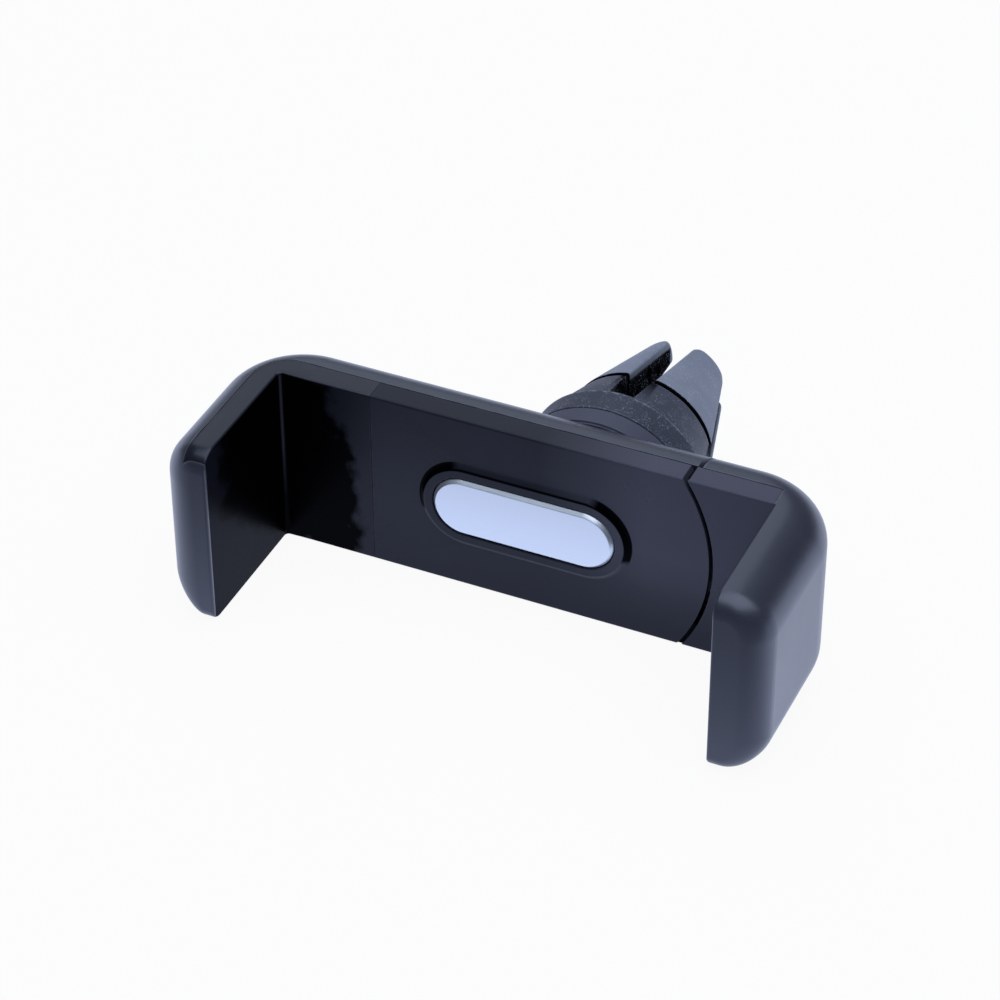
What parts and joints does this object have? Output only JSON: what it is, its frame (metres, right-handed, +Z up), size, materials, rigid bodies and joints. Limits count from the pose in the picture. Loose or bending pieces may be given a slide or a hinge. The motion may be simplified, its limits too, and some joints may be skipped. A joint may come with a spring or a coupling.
{
  "type": "air vent phone holder",
  "caption": "Spring-loaded phone cradle with a sliding jaw, on a swivelling clip whose slotted prongs push onto an air vent's blade.",
  "frame": {"origin": "centre of the cradle's face between the closed jaws, in the plane of the face", "axes": "+X towards the sliding jaw, +Y away from the phone to the vent clip, +Z up along the cradle's height"},
  "size_m": [0.0666, 0.0467, 0.0212],
  "materials": {
    "shell_plastic": "satin charcoal moulding with a fine grain",
    "panel_plastic": "satin charcoal",
    "liner_plastic": "polished black",
    "plate_metal": "pale silver, bevelled edge",
    "screw_steel": "blackened steel",
    "spring_steel": "drawn spring wire",
    "collar_plastic": "smooth satin",
    "clip_plastic": "spark-eroded texture",
    "sleeve_rubber": "soft matte rubber"
  },
  "bodies": {
    "cradle": {"back_shell": "shell_plastic", "left_jaw_liner": "liner_plastic", "front_panel": "panel_plastic", "inlay_plate": "plate_metal", "body_screws": "screw_steel", "spring_pins": "spring_steel", "upper_spring": "spring_steel", "lower_spring": "spring_steel", "swivel_collar": "collar_plastic", "swivel_wave_washer": "screw_steel", "swivel_washer": "screw_steel", "swivel_screw": "screw_steel"},
    "jaw": {"sliding_jaw": "shell_plastic", "sliding_jaw_cover": "panel_plastic", "jaw_cover_screws": "screw_steel"},
    "clip": {"clip_core": "clip_plastic", "prong_sleeve_upper_left": "sleeve_rubber", "prong_sleeve_upper_right": "sleeve_rubber", "prong_sleeve_lower_left": "sleeve_rubber", "prong_sleeve_lower_right": "sleeve_rubber"}
  },
  "joints": [
    {"name": "jaw_slide", "type": "slide", "parent": "cradle", "child": "jaw", "axis": [1, 0, 0], "range_m": [0, 0.027], "stiffness_N_per_m": 260, "springref_m": -0.019, "deforming": ["upper_spring", "lower_spring"]},
    {"name": "clip_swivel", "type": "hinge", "parent": "cradle", "child": "clip", "pos_m": [0.0059, 0.0085, 0], "axis": [0, 1, 0], "continuous": true}
  ]
}
